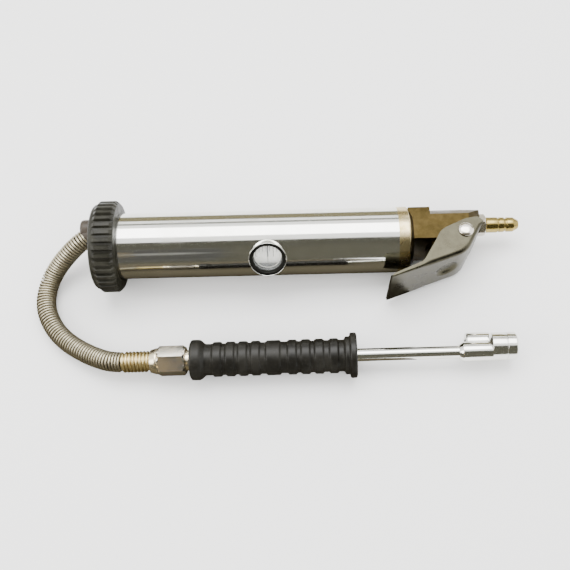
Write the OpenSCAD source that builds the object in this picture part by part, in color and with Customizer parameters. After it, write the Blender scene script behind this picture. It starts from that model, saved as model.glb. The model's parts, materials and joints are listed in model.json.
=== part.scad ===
// Tire inflator with an in-line window gauge, a squeeze lever valve, a spring-guarded hose
// and a hand wand with a two-way chuck. The tool lies on its side on a bench.
// Millimetres. +X runs towards the inlet plug, -Y is the lever side, Z = 0 is the bench.

/* [Barrel] */
// Outside diameter of the barrel tube
barrel_d = 48; // [44:0.5:58]
// Wall of the barrel tube
barrel_wall = 2; // [1.5:0.25:2.5]
// Length of the barrel tube
barrel_len = 215; // [205:1:260]
// Depth that the end cap and the valve head reach into the tube
spigot_len = 12; // [10:0.5:15]
// Thickness of the end cap's flange
cap_flange = 3; // [2:0.5:5]

/* [Bumper ring] */
// Height of the ring over the barrel, to the top of its ribs
ring_height = 9.5; // [8:0.5:14]
// Width of the ribbed part
ring_width = 15.5; // [12:0.5:22]
// Number of ribs, in steps that keep one at the bottom
ring_ribs = 36; // [24:4:44]
// Depth of the grooves between the ribs
rib_depth = 2.1; // [1:0.1:3]
// Width of a groove
rib_gap = 2.2; // [1.2:0.1:3]
// Chamfer at both ends of the ribs
rib_chamfer = 2.4; // [1:0.1:3.5]

/* [Window] */
// Distance of the window's centre from the outlet end of the tube
window_at = 121.3; // [110:0.5:150]
// Angle of the window above the lever's direction
window_angle = 33; // [20:1:60]
// Outside diameter of the window rim
rim_d = 27.2; // [24:0.2:32]
// Width of the bright rim
rim_width = 1.5; // [1:0.25:2.5]
// Diameter of the lens
lens_d = 21; // [18:0.5:23]

/* [Gauge] */
// Offset of the gauge from the barrel's axis, towards the window
gauge_offset = 5.5; // [4:0.25:6]
// Bore of the gauge cylinder
gauge_bore = 15; // [13:0.5:16]
// Wall of the gauge cylinder
gauge_wall = 1.5; // [1:0.25:2]
// Length of the gauge cylinder
gauge_len = 85; // [80:1:95]
// Outside diameter of the indicator drum
drum_d = 23.6; // [22:0.2:24]
// Length of the indicator drum
drum_len = 62; // [58:1:66]
// Travel of the gauge at full scale
gauge_travel = 25; // [15:1:28]

/* [Valve head] */
// Length of the round collar outside the tube
collar_len = 8.3; // [6:0.1:12]
// Half width of the head, across the lever
head_half = 17.5; // [16:0.25:19]
// Face of the head towards the lever, from the barrel's axis
head_low = 8.5; // [7:0.25:10]
// Face of the head away from the lever, from the barrel's axis
head_high = 17; // [16:0.25:19]
// Distance of the plunger from the tube's end
plunger_at = 38; // [36:0.5:42]
// Diameter of the plunger
plunger_d = 6; // [5:0.25:7]
// Offset of the inlet and of the hose outlet from the barrel's axis
port_offset = 10.5; // [10:0.25:11]
// Diameter of the inlet thread
inlet_thread_d = 10; // [9:0.25:11]

/* [Lever] */
// Width of the lever over its side plates
lever_w = 40; // [38:0.5:46]
// Thickness of the lever's sheet
lever_t = 1.8; // [1.4:0.1:2]
// Distance of the pivot from the tube's end
pivot_at = 47.5; // [46:0.5:52]
// Distance of the pivot from the barrel's axis, towards the lever
pivot_low = 4.2; // [3.5:0.1:5]
// Diameter of the pivot pin
pin_d = 6; // [5:0.25:7]
// Diameter of the pin's heads
pin_head_d = 11; // [9:0.5:13]
// Thickness of the pin's heads
pin_head_t = 1.5; // [1:0.25:2.5]
// Squeeze of the lever, in degrees
lever_travel = 10; // [6:0.5:10]

/* [Inlet plug] */
// Hexagon of the inlet plug, across flats
plug_hex = 14.3; // [13:0.1:16]
// Diameter of the plug's body
plug_d = 11.5; // [10:0.1:12.5]
// Length of the plug beyond its hexagon
plug_len = 24.7; // [20:0.1:30]

/* [Hose] */
// Diameter of the rubber hose
hose_d = 10; // [8:0.5:11]
// Outside diameter of the spring guard
guard_d = 14.6; // [13.5:0.1:16]
// Inside diameter of the spring guard
guard_bore = 11.6; // [11.4:0.1:12.4]
// Length of the brass coil at the wand end
brass_coil_len = 20.5; // [14:0.5:26]

/* [Wand] */
// Length of the rubber grip
grip_len = 117; // [100:1:140]
// Diameter of the grip over its ridges
grip_d = 24.6; // [22:0.2:30]
// Depth of the grip's grooves
grip_groove = 1.2; // [0.5:0.1:2]
// Diameter of the grip's flange at the hose end
flange_hose_d = 28.6; // [27:0.2:31.8]
// Diameter of the grip's flange at the chuck end
flange_chuck_d = 31.8; // [31:0.2:36]
// Diameter of the wand tube
wand_d = 9; // [8:0.25:10]
// Bore of the wand tube
wand_bore = 6; // [4:0.25:6.5]
// Bare length of the wand tube between the grip and the chuck
wand_bare = 70.8; // [50:1:120]
// Hexagon of the hose nut, across flats
nut_hex = 19; // [17:0.5:22]
// Length of the hose nut
nut_len = 19.9; // [16:0.1:24]

/* [Chuck] */
// Diameter of the chuck's stem
stem_d = 13.7; // [12.5:0.1:15]
// Diameter of the forward foot
forward_d = 19.7; // [18.5:0.1:22]
// Length of the forward foot
forward_len = 17.8; // [16:0.1:22]
// Diameter of the reverse foot
reverse_d = 14.6; // [14:0.1:16]
// Bore that takes a tire valve
valve_bore = 8.4; // [8:0.1:9]
// Travel of the chuck's depressor pins
pin_travel = 2.5; // [1:0.25:3]

/* [Clearances] */
// Radial clearance of pieces that are fixed together
seat_gap = 0.02; // [0.01:0.01:0.05]
// Radial clearance of pieces that slide or turn
run_gap = 0.06; // [0.03:0.01:0.09]
// Free space between pieces that pass each other
pass_gap = 0.3; // [0.2:0.05:0.5]

/* [Hidden] */
$fn = 96;

barrel_r = barrel_d / 2;
barrel_in = barrel_r - barrel_wall;
ring_r = barrel_r + ring_height;
ring_right = ring_width - 2;
port_y = port_offset;
air_y = port_offset + 3.5;
air_r = 4;
air_bore = 2.75;
head_x = barrel_len;
block_x = head_x + collar_len;
step_x = head_x + 24;
plunger_x = head_x + plunger_at;
plunger_r = plunger_d / 2;
pivot_x = head_x + pivot_at;
pin_r = pin_d / 2;
inlet_x = head_x + 61;
lever_half = lever_w / 2;
head_out = lever_half + pass_gap / 2 + pin_head_t;

// The tool rests on the ring's ribs and on the head's collar or the lever pin's lower head,
// whichever meets the bench first.
rest_left = ring_right - rib_chamfer;
rest_pin = pivot_x + pin_head_d / 2;
tilt = min(
    atan((ring_r - barrel_r) / (block_x - 1 - rest_left)),
    atan((ring_r - head_out) / (rest_pin - rest_left))
);
tool_x = -144;
tool_y = 32;
yaw = 0.5;
tool_z = rest_left * sin(tilt) + ring_r * cos(tilt);

// The wand rests on the larger flange of its grip.
wand_x = -78.5;
wand_y = -52;
wand_z = flange_chuck_d / 2;

function in_tool_at(p) = let (run = p[0] * cos(tilt) + p[2] * sin(tilt)) [
    tool_x + run * cos(yaw) - p[1] * sin(yaw),
    tool_y + run * sin(yaw) + p[1] * cos(yaw),
    tool_z - p[0] * sin(tilt) + p[2] * cos(tilt)
];
function unit(v) = v / norm(v);

// Gauge place and run
gauge_y = -gauge_offset * cos(window_angle);
gauge_z = gauge_offset * sin(window_angle);
gauge_r = gauge_bore / 2;
gauge_out = gauge_r + gauge_wall;
gauge_end = head_x - 2;
gauge_start = gauge_end - gauge_len;
adjuster_len = 10;
piston_len = 8;
cup_len = 4;
piston_x = gauge_end - 4 - cup_len - piston_len;
rod_r = 2.5;
drum_x = window_at - 26.5;
drum_wall = 1.6;
drum_r = max(drum_d / 2, gauge_out + pass_gap + drum_wall);
drum_end = 3;

// Window heights, from the barrel's axis
rim_top = barrel_r + 1.2;
lens_low = barrel_in * 0.87;
lip_t = 1.2;
lip_r = lens_d / 2 - 0.75;
neck_r = rim_d / 2 - 0.7;
gasket_r = rim_d / 2 - rim_width;

// Valve places along Y: the seat faces +Y
seat_y = 4;
chamber_r = 6.5;
cap_r = 7;
cap_y = 13.5;
guide_r = 5;
boss_r = head_half - 0.3;
boss_t = 2;
seal_t = 1.5;

// Lever outline in X and -Y, from the pivot
tip = [-55, 35.8];
knee = [0, 16.3];
heel = [13.4, -7.2];
web_angle = atan2(tip[1] - knee[1], knee[0] - tip[0]);
dimple_r = 8.5;
dimple_depth = 2;
dimple_from_pivot = knee[1] * cos(web_angle) - lever_t - dimple_depth;
plunger_off = pivot_at - plunger_at;
tip_gap = 0.15;
plunger_centre = pivot_low - tip_gap
    + (dimple_from_pivot - plunger_r + plunger_off * sin(web_angle)) / cos(web_angle);
plunger_travel = (dimple_from_pivot - plunger_r + plunger_off * sin(web_angle)) / cos(web_angle)
    - (dimple_from_pivot - plunger_r + plunger_off * sin(web_angle - lever_travel))
    / cos(web_angle - lever_travel);

// Wand places, from the grip's hose end
collar_end_len = 5.5;
neck_len = 3.4;
nut_start = -neck_len - nut_len;
collar_start = nut_start - collar_end_len;
coil_start = collar_start - brass_coil_len;
hose_stop = nut_start + 9;
tube_start = nut_start + 11.3;
chuck_x = grip_len + wand_bare;
stem_x = chuck_x + 2.7;
forward_x = stem_x + 19.3;
forward_end = forward_x + forward_len;
reverse_x = stem_x + 3.4;
reverse_len = 18.1;
forward_off = [3.5, -0.8];
reverse_off = [8.9, -6.5];
seat_len = 8.6;
reverse_seat_len = 6.5;
foot_seal_t = 2.2;
forward_thread = 7;
reverse_thread = 5.9;

// Ridges stand at these shares of the grip's length, with a plain band in the middle
ridge_shares = [0.163, 0.243, 0.319, 0.395, 0.614, 0.695, 0.775, 0.863];

// Route of the hose: elbow, bench, wand
elbow_r = 7.6;
elbow_off = 1.5;
elbow_at = in_tool_at([-cap_flange - elbow_off, air_y, 0]);
free_route = [
    [-157.5, 41.8, 31.4], [-163, 39, 29.3], [-169, 35.5, 26], [-174.5, 32, 22.3], [-179.5, 28.5, 18.5],
    [-184, 24.5, 14.8], [-188.5, 18.5, 11], [-191, 11, 8.6], [-191.8, 2.5, 7.6],
    [-190, -7, 7.4], [-186, -15.5, 7.4], [-180.5, -23.5, 7.4], [-173.5, -30.5, 7.8],
    [-165.5, -36.5, 8.8], [-156.5, -42, 10.3], [-147, -46.8, 12.2], [-137.5, -50.4, 14.3]
];
guard_route = concat(free_route, [[wand_x + coil_start, wand_y, wand_z]]);
hose_route = concat(guard_route, [
    [wand_x + coil_start + 12, wand_y, wand_z],
    [wand_x + collar_start, wand_y, wand_z],
    [wand_x + hose_stop, wand_y, wand_z]
]);

hose_ends = [hose_route[0] - elbow_at, [1, 0, 0]];

// ---------- shapes ----------

module in_tool() translate([tool_x, tool_y, tool_z]) rotate([0, tilt, yaw]) children();
module in_wand() translate([wand_x, wand_y, wand_z]) children();
module in_gauge() in_tool() translate([0, gauge_y, gauge_z]) children();
module in_window() in_tool() translate([window_at, 0, 0]) rotate([90 - window_angle, 0, 0]) children();
module in_valve() in_tool() translate([plunger_x, 0, 0]) rotate([-90, 0, 0]) children();
module in_inlet() in_tool() translate([inlet_x, port_y, 0]) rotate([0, 90, 0]) children();
module in_forward() in_wand() translate([0, forward_off[0], forward_off[1]]) children();
module in_reverse() in_wand() translate([0, reverse_off[0], reverse_off[1]]) children();

module rod_x(r, x0, x1) translate([x0, 0, 0]) rotate([0, 90, 0]) cylinder(r = r, h = x1 - x0);

module pipe_x(r_out, r_in, x0, x1) {
    difference() {
        rod_x(r_out, x0, x1);
        rod_x(r_in, x0 - 1, x1 + 1);
    }
}

module hex_x(flats, x0, x1, turn = 0) {
    translate([x0, 0, 0]) rotate([turn, 0, 0]) rotate([0, 90, 0])
        cylinder(d = flats / cos(30), h = x1 - x0, $fn = 6);
}

// A solid turned about X from points of [x, radius]
module turned_x(points) rotate([0, 90, 0]) rotate([0, 0, 90])
    rotate_extrude() polygon([for (p = points) [p[1], p[0]]]);

// A ring of round section about X
module ring_x(r_mid, r_wire, x) translate([x, 0, 0]) rotate([0, 90, 0])
    rotate_extrude() translate([r_mid, 0]) circle(r = r_wire);

// Points of a smooth line through given points
function between(a, b, c, d, t) = 0.5 * (2 * b + (c - a) * t
    + (2 * a - 5 * b + 4 * c - d) * t * t + (3 * b - a - 3 * c + d) * t * t * t);
function smooth(p, steps) = concat(
    [for (i = [0:len(p) - 2], k = [0:steps - 1])
        between(p[max(i - 1, 0)], p[i], p[i + 1], p[min(i + 2, len(p) - 1)], k / steps)],
    [p[len(p) - 1]]);
function heading(p, i, ends) = i == 0 ? unit(ends[0])
    : i == len(p) - 1 ? unit(ends[1]) : unit(p[i + 1] - p[i - 1]);
function ring_at(p, i, r, sides, ends) =
    let (t = heading(p, i, ends), side = unit(cross(t, [0, 0, 1])), up = cross(side, t))
    [for (k = [0:sides - 1]) p[i] + r * (cos(360 * k / sides) * side + sin(360 * k / sides) * up)];

// A tube along a line, which leaves and arrives along the two directions in ends.
// With r_in above zero it is hollow.
module swept(p, r_out, r_in, sides, ends) {
    n = len(p);
    m = sides;
    outer = [for (i = [0:n - 1]) each ring_at(p, i, r_out, m, ends)];
    inner = [for (i = [0:n - 1]) each ring_at(p, i, r_in, m, ends)];
    walls = [for (i = [0:n - 2], k = [0:m - 1])
        [i * m + k, i * m + (k + 1) % m, (i + 1) * m + (k + 1) % m, (i + 1) * m + k]];
    if (r_in > 0) {
        o = n * m;
        linings = [for (w = walls) [w[3] + o, w[2] + o, w[1] + o, w[0] + o]];
        first = [for (k = [0:m - 1]) [k, k + o, (k + 1) % m + o, (k + 1) % m]];
        e = (n - 1) * m;
        last = [for (k = [0:m - 1]) [e + k, e + (k + 1) % m, e + (k + 1) % m + o, e + k + o]];
        polyhedron(concat(outer, inner), concat(walls, linings, first, last), convexity = 8);
    } else {
        first = [[for (k = [m - 1:-1:0]) k]];
        last = [[for (k = [0:m - 1]) (n - 1) * m + k]];
        polyhedron(outer, concat(walls, first, last), convexity = 8);
    }
}

// A coil spring along X between two faces
module coil_x(r_mid, r_wire, x0, x1, turns) {
    steps = 12;
    rise = (x1 - x0 - 2 * r_wire - 0.04) / turns;
    line = [for (i = [0:turns * steps]) [
        x0 + r_wire + 0.02 + rise * i / steps,
        r_mid * cos(360 * i / steps),
        r_mid * sin(360 * i / steps)
    ]];
    sides = 6;
    rings = [for (i = [0:len(line) - 1])
        let (out = [0, cos(360 * i / steps), sin(360 * i / steps)])
        for (k = [0:sides - 1])
            line[i] + r_wire * (cos(60 * k) * out + sin(60 * k) * [1, 0, 0])];
    walls = [for (i = [0:len(line) - 2], k = [0:sides - 1]) [
        i * sides + k, (i + 1) * sides + k,
        (i + 1) * sides + (k + 1) % sides, i * sides + (k + 1) % sides]];
    first = [[for (k = [0:sides - 1]) k]];
    last = [[for (k = [sides - 1:-1:0]) (len(line) - 1) * sides + k]];
    polyhedron(rings, concat(walls, first, last), convexity = 10);
}

// ---------- barrel ----------

module barrel_tube() color("silver") difference() {
    in_tool() pipe_x(barrel_r, barrel_in, 0, barrel_len);
    in_window() cylinder(r = neck_r + pass_gap / 2, h = barrel_r + 5);
}

module ring_profile() {
    base = ring_r - rib_chamfer;
    turned_x([
        [-cap_flange - 1.5, barrel_r - 2], [-cap_flange - 1.5, base - 1.2],
        [-cap_flange, base], [-2, base], [-2 + rib_chamfer, ring_r],
        [ring_right - rib_chamfer, ring_r], [ring_right, base],
        [ring_right, barrel_r + seat_gap], [-cap_flange, barrel_r + seat_gap],
        [-cap_flange, barrel_r - 2]
    ]);
}

module bumper_ring() color([0.12, 0.12, 0.12]) in_tool() difference() {
    ring_profile();
    for (i = [0:ring_ribs - 1])
        rotate([(i + 0.5) * 360 / ring_ribs, 0, 0])
            translate([-2, -rib_gap / 2, ring_r - rib_depth])
                cube([ring_width + 1, rib_gap, rib_depth + 1]);
}

module end_cap() color("silver") in_tool() difference() {
    union() {
        rod_x(barrel_r, -cap_flange, 0);
        rod_x(barrel_in - seat_gap, -0.5, spigot_len);
    }
    difference() {
        rod_x(barrel_in + 1, 4.5, 7.5);
        rod_x(barrel_in - 2.8, 4, 8);
    }
    translate([0, air_y, 0]) rod_x(4.5, -cap_flange - 1, 5);
    translate([0, air_y, 0]) rod_x(air_r + seat_gap, 5, spigot_len + 1);
    translate([0, air_y, 0]) rod_x(air_bore, 0, 6);
}

module end_cap_seal() color([0.1, 0.1, 0.1]) in_tool() ring_x(barrel_in - 1.4, 1.3, 6);

module outlet_elbow() color([0.2, 0.2, 0.2]) {
    run = hose_route[0] - elbow_at;
    turn_z = atan2(run[1], run[0]);
    turn_y = 90 - asin(run[2] / norm(run));
    mid = -cap_flange - elbow_off;
    difference() {
        union() {
            in_tool() translate([0, air_y, 0]) turned_x(concat(
                [[4, 0], [4, 4.5 - seat_gap], [-cap_flange, 4.5 - seat_gap], [-cap_flange, elbow_r]],
                [for (a = [0:15:90]) [mid - elbow_r * sin(a), elbow_r * cos(a)]]
            ));
            difference() {
                translate(elbow_at) rotate([0, turn_y, turn_z])
                    translate([0, 0, 3]) cylinder(r = elbow_r - 0.2, h = norm(run) - 3);
                in_tool() rod_x(ring_r, -cap_flange, spigot_len);
            }
        }
        in_tool() translate([0, air_y, 0]) rod_x(2.5, mid - 1.2, 5);
        translate(elbow_at) rotate([0, turn_y, turn_z])
            translate([0, 0, -0.5]) cylinder(r = 2.7, h = norm(run) + 1);
    }
}

// ---------- window ----------

module window_rim() color("silver") difference() {
    in_window() translate([0, 0, lens_low - lip_t]) cylinder(r = rim_d / 2, h = rim_top - lens_low + lip_t);
    in_window() translate([0, 0, lens_low]) cylinder(r = gasket_r, h = rim_top);
    in_window() cylinder(r = lip_r, h = rim_top);
    in_tool() difference() {
        rod_x(barrel_r + seat_gap, 0, barrel_len);
        translate([window_at, 0, 0]) rotate([90 - window_angle, 0, 0])
            cylinder(r = neck_r, h = barrel_r + 5);
    }
}

module window_gasket() color([0.1, 0.1, 0.1]) in_window() translate([0, 0, lens_low])
    difference() {
        cylinder(r = gasket_r - seat_gap, h = rim_top - lens_low - 0.3);
        translate([0, 0, -1]) cylinder(r = lens_d / 2 + seat_gap, h = barrel_r);
    }

module window_lens() color([0.8, 0.9, 0.95, 0.4]) in_window() intersection() {
    translate([0, 0, lens_low]) cylinder(r = lens_d / 2, h = 6);
    translate([0, 0, lens_low + 4.6 - 40]) sphere(r = 40);
}

module window_hairline() color([0.1, 0.1, 0.1]) in_window()
    translate([-0.25, -lip_r + 0.2, lens_low - 0.3]) cube([0.5, 2 * lip_r - 0.4, 0.3]);

// ---------- gauge ----------

module gauge_cylinder() color("goldenrod") in_gauge()
    pipe_x(gauge_out, gauge_r, gauge_start, gauge_end);

module spring_adjuster() color("goldenrod") in_gauge() difference() {
    union() {
        rod_x(gauge_r - seat_gap, gauge_start, gauge_start + adjuster_len);
        rod_x(gauge_out, gauge_start - 2, gauge_start);
    }
    rod_x(rod_r + run_gap, gauge_start - 3, gauge_start + adjuster_len + 1);
    translate([gauge_start - 3, rod_r + 1, -1]) cube([2, 10, 2]);
    translate([gauge_start - 3, -rod_r - 11, -1]) cube([2, 10, 2]);
}

module gauge_spring() color("gray") in_gauge()
    coil_x(5, 0.7, gauge_start + adjuster_len, piston_x, 11);

module gauge_piston() color("ivory") in_gauge() difference() {
    rod_x(gauge_r - run_gap, piston_x, piston_x + piston_len);
    rod_x(rod_r + seat_gap, piston_x - 1, piston_x + 4);
}

module piston_cup() color([0.15, 0.15, 0.15]) in_gauge() difference() {
    rod_x(gauge_r - run_gap, piston_x + piston_len, piston_x + piston_len + cup_len);
    rod_x(gauge_r - 1.6, piston_x + piston_len + 1.6, piston_x + piston_len + cup_len + 1);
}

module gauge_rod() color("silver") in_gauge() {
    rod_x(rod_r, drum_x - 4, piston_x + 4);
    rod_x(rod_r + 1.5, drum_x + drum_end, drum_x + drum_end + 2);
}

module indicator_drum() color("white") in_gauge() difference() {
    rod_x(drum_r, drum_x, drum_x + drum_len);
    rod_x(drum_r - drum_wall, drum_x + drum_end, drum_x + drum_len + 1);
    rod_x(rod_r + seat_gap, drum_x - 1, drum_x + drum_end + 1);
}

module drum_nut() color("silver") in_gauge() difference() {
    hex_x(8, drum_x - 3, drum_x);
    rod_x(rod_r + seat_gap, drum_x - 5, drum_x + 1);
}

module air_tube() color("goldenrod") in_tool() translate([0, air_y, 0])
    pipe_x(air_r, air_bore, 5, gauge_end);

// ---------- valve head ----------

// Section of the head in Z and Y, with the corners away from the lever cut back
module head_section() polygon([
    [-head_half, -head_low], [head_half, -head_low], [head_half, 11],
    [12, head_high], [-12, head_high], [-head_half, 11]
]);

module along_x(x0, x1) translate([x0, 0, 0]) rotate([90, 0, 90])
    rotate([0, 0, 90]) mirror([0, 1, 0]) linear_extrude(x1 - x0) children();

module head_blocks() {
    rod_x(barrel_in - seat_gap, head_x - spigot_len, head_x + 0.5);
    turned_x([
        [head_x, 0], [head_x, barrel_r], [block_x - 1, barrel_r],
        [block_x, barrel_r - 1], [block_x + 2.5, barrel_r - 4.5], [block_x + 2.5, 0]
    ]);
    translate([block_x, -head_low, -head_half])
        cube([step_x - block_x, head_low + head_high, 2 * head_half]);
    along_x(step_x - 1, inlet_x - 0.5) head_section();
    translate([plunger_x, -head_low - boss_t, 0]) rotate([-90, 0, 0])
        cylinder(r = boss_r, h = boss_t + 1);
    translate([0, port_y, 0]) rod_x(6.4, inlet_x - 8, inlet_x);
}

module valve_head() color([0.5, 0.38, 0.2]) in_tool() difference() {
    head_blocks();
    heel_room();
    nose_taper();
    head_passages();
}

// The lever's heel plate lies here, with free space in front of it
module heel_room() for (a = [0, lever_travel]) {
    run = heel - knee;
    angle = atan2(-run[1], run[0]);
    translate([pivot_x, -pivot_low, 0]) rotate([0, 0, -a])
        translate([knee[0], -knee[1], 0]) rotate([0, 0, angle])
            translate([-10, -30, -head_half - 5])
                cube([norm(run) + 13, 30 + lever_t + pass_gap, 2 * head_half + 10]);
}

// The head narrows towards the inlet
module nose_taper() {
    translate([plunger_x + cap_r + 1.5, head_high, -30]) rotate([0, 0, -4]) cube([40, 10, 60]);
    for (side = [0, 1]) mirror([0, 0, side])
        translate([pivot_x + 4, 0, head_half]) rotate([0, 30, 0])
            translate([0, -3, 0]) cube([40, 40, 40]);
}

module head_passages() {
    groove_x = head_x - 6;
    difference() {
        rod_x(barrel_in + 1, groove_x - 1.5, groove_x + 1.5);
        rod_x(barrel_in - 2.8, groove_x - 2, groove_x + 2);
    }
    translate([0, gauge_y, gauge_z]) rod_x(gauge_out + seat_gap, head_x - spigot_len - 1, gauge_end);
    translate([0, air_y, 0]) rod_x(air_r + seat_gap, head_x - spigot_len - 1, gauge_end);
    translate([0, air_y, 0]) rod_x(air_bore, gauge_end - 1, head_x + 3.5);
    translate([0, gauge_y, gauge_z]) rod_x(5, gauge_end - 1, head_x + 3.5);
    translate([head_x + 1.5, -2, 0]) rotate([-90, 0, 0]) cylinder(r = 1.8, h = air_y + 2);
    translate([0, -1, 1.5]) rod_x(1.8, head_x + 1, plunger_x);
    translate([plunger_x, 0, 0]) rotate([-90, 0, 0]) {
        translate([0, 0, -head_low - boss_t - 1]) cylinder(r = guide_r + seat_gap, h = head_low + boss_t);
        translate([0, 0, -2]) cylinder(r = 4, h = seat_y + 3);
        translate([0, 0, seat_y]) cylinder(r = chamber_r, h = cap_y - seat_y + 1);
        translate([0, 0, cap_y]) cylinder(r = cap_r + seat_gap, h = 10);
    }
    translate([pivot_x, -pivot_low, -30]) cylinder(r = pin_r + seat_gap, h = 60);
    translate([0, port_y, 0]) rod_x(inlet_thread_d / 2 + seat_gap, inlet_x - 10, inlet_x + 1);
    translate([0, port_y, 0]) rod_x(3, plunger_x + 3, inlet_x);
}

module head_seal() color([0.1, 0.1, 0.1]) in_tool() ring_x(barrel_in - 1.4, 1.3, head_x - 6);

module plunger_bushing() color("goldenrod") in_valve() difference() {
    union() {
        translate([0, 0, -head_low - boss_t - 1.5]) cylinder(r = guide_r + 1.5, h = 1.5);
        translate([0, 0, -head_low - boss_t - 0.5]) cylinder(r = guide_r, h = head_low + boss_t - 1 - seal_t + 0.5);
    }
    translate([0, 0, -20]) cylinder(r = plunger_r + run_gap, h = 30);
}

module plunger_seal() color([0.1, 0.1, 0.1]) in_valve() translate([0, 0, -1 - seal_t]) difference() {
    cylinder(r = guide_r, h = seal_t);
    translate([0, 0, -1]) cylinder(r = plunger_r + run_gap, h = 5);
}

module plunger() color("silver") in_valve() {
    translate([0, 0, -plunger_centre]) sphere(r = plunger_r);
    translate([0, 0, -plunger_centre]) cylinder(r = plunger_r, h = plunger_centre - 1);
    translate([0, 0, -2]) cylinder(r = 1.6, h = 2 + seat_y + 2);
}

module poppet_seal() color([0.1, 0.1, 0.1]) in_valve() translate([0, 0, seat_y]) difference() {
    cylinder(r = 5, h = 1.5);
    translate([0, 0, -1]) cylinder(r = 1.6 + seat_gap, h = 4);
}

module poppet() color("goldenrod") in_valve() difference() {
    union() {
        translate([0, 0, seat_y + 1.5]) cylinder(r = 5, h = 2);
        translate([0, 0, seat_y + 3]) cylinder(r = 2, h = 2.5);
    }
    translate([0, 0, seat_y]) cylinder(r = 1.6 + seat_gap, h = 2);
}

module valve_spring() color("gray") in_valve() rotate([0, -90, 0])
    coil_x(3.4, 0.45, seat_y + 3.5, cap_y, 4);

module valve_cap() color("goldenrod") in_valve() difference() {
    translate([0, 0, cap_y]) cylinder(r = cap_r, h = head_high - cap_y);
    translate([0, 0, head_high - 2]) cylinder(r = 3.5, h = 3, $fn = 6);
}

// ---------- lever ----------

function web_in(p, q, t) = let (d = unit(q - p)) [d[1] * t, -d[0] * t];

module lever_outline() {
    polygon([
        tip, knee, heel, [heel[0] - 3.4, heel[1] - 3.9], [0.5, heel[1] - 2.2],
        [-5, heel[1] + 0.4], [-14.5, heel[1] + 4.7], [-18.4, heel[1] + 8],
        [-21.3, heel[1] + 13.6], [-31.8, 23.6], [-53.5, 33]
    ]);
}

// A strip of sheet just inside the outline, from the tip over the knee to the heel
module lever_strip() {
    a = unit(knee - tip);
    b = unit(heel - knee);
    bend = lever_t * tan((atan2(b[0], -b[1]) - atan2(a[0], -a[1])) / 2);
    polygon([
        tip, knee, heel,
        heel + [b[1], -b[0]] * lever_t,
        knee + [a[1], -a[0]] * lever_t + a * bend,
        tip + [a[1], -a[0]] * lever_t
    ]);
}

module lever() color([0.62, 0.6, 0.55]) in_tool() translate([pivot_x, -pivot_low, 0])
    mirror([0, 1, 0]) difference() {
        union() {
            translate([0, 0, -lever_half]) linear_extrude(lever_w) lever_strip();
            for (z = [-lever_half, lever_half - lever_t])
                translate([0, 0, z]) linear_extrude(lever_t) lever_outline();
            dimple(dimple_r, -lever_t - dimple_depth, -lever_t / 2);
        }
        dimple(dimple_r - lever_t, -dimple_depth, 1);
        translate([0, 0, -lever_half - 1]) cylinder(r = pin_r + run_gap, h = lever_w + 2);
    }

// A round step along the web's normal, from depth a to depth b
module dimple(r, a, b) translate([knee[0], knee[1], 0]) rotate([0, 0, -web_angle])
    translate([-plunger_off / cos(web_angle) - 1, 0, 0]) rotate([-90, 0, 0])
        translate([0, 0, a]) cylinder(r = r, h = b - a);

module lever_pin() color("silver") in_tool() translate([pivot_x, -pivot_low, 0]) {
    translate([0, 0, -head_out]) cylinder(r = pin_r, h = 2 * head_out);
    translate([0, 0, -head_out]) cylinder(d = pin_head_d, h = pin_head_t);
    translate([0, 0, head_out - pin_head_t]) cylinder(d = pin_head_d, h = pin_head_t);
    intersection() {
        translate([0, 0, head_out - 9]) sphere(r = 10.5);
        translate([0, 0, head_out - 0.2]) cylinder(d = pin_head_d, h = 5);
    }
}

// ---------- inlet ----------

module inlet_plug() color("goldenrod") in_inlet() rotate([0, -90, 0]) {
    hex_end = 5.3;
    r = plug_d / 2;
    end = hex_end + plug_len;
    difference() {
        union() {
            rod_x(inlet_thread_d / 2, -9.5, 0.5);
            hex_x(plug_hex, 0, hex_end, 12);
            turned_x([
                [hex_end - 0.5, 0], [hex_end - 0.5, r - 0.8], [hex_end + 0.4, r - 0.8],
                [hex_end + 1, r], [hex_end + 9.2, r], [hex_end + 9.5, r - 0.6],
                [hex_end + 10.3, r - 0.6], [hex_end + 10.6, r - 0.2], [hex_end + 14, r - 0.2],
                [hex_end + 14.5, r - 0.9], [hex_end + 15.6, r - 0.9], [hex_end + 16.1, r - 0.3],
                [end - 4, r - 0.4], [end - 0.4, r - 2.4], [end, r - 2.8], [end, 0]
            ]);
        }
        rod_x(2.4, -12, end + 1);
        rod_x(3.6, -12, -4);
    }
}

module inlet_screen() color("silver") in_inlet() rotate([0, -90, 0]) difference() {
    rod_x(3.6 - seat_gap, -6, -4);
    for (i = [0:5]) rotate([60 * i, 0, 0]) translate([0, 2.1, 0]) rod_x(0.6, -7, -3);
    rod_x(0.6, -7, -3);
}

// ---------- hose ----------

module hose() color([0.15, 0.15, 0.15]) swept(smooth(hose_route, 3), hose_d / 2, 0, 12, hose_ends);

module hose_guard() color("silver")
    swept(smooth(guard_route, 3), guard_d / 2, guard_bore / 2, 12, hose_ends);

module brass_coil() color("goldenrod") in_wand() {
    turns = 7;
    pitch = brass_coil_len / turns;
    r = guard_d / 2 + 0.3;
    turned_x(concat(
        [[coil_start, guard_bore / 2]],
        [for (i = [0:turns - 1], k = [0:4])
            [coil_start + pitch * (i + k / 5 + 0.1), r - 0.8 + 0.8 * sin(180 * (k + 0.5) / 5)]],
        [[coil_start + brass_coil_len, r - 0.6], [coil_start + brass_coil_len, guard_bore / 2]]
    ));
}

module hose_collar() color("wheat") in_wand() difference() {
    turned_x([
        [collar_start, 0], [collar_start, guard_d / 2 + 0.7], [nut_start - 1, nut_hex / 2 - 0.3],
        [nut_start, nut_hex / 2 - 0.6], [nut_start, 0]
    ]);
    rod_x(hose_d / 2 + seat_gap, collar_start - 1, nut_start + 1);
}

// ---------- wand ----------

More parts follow.
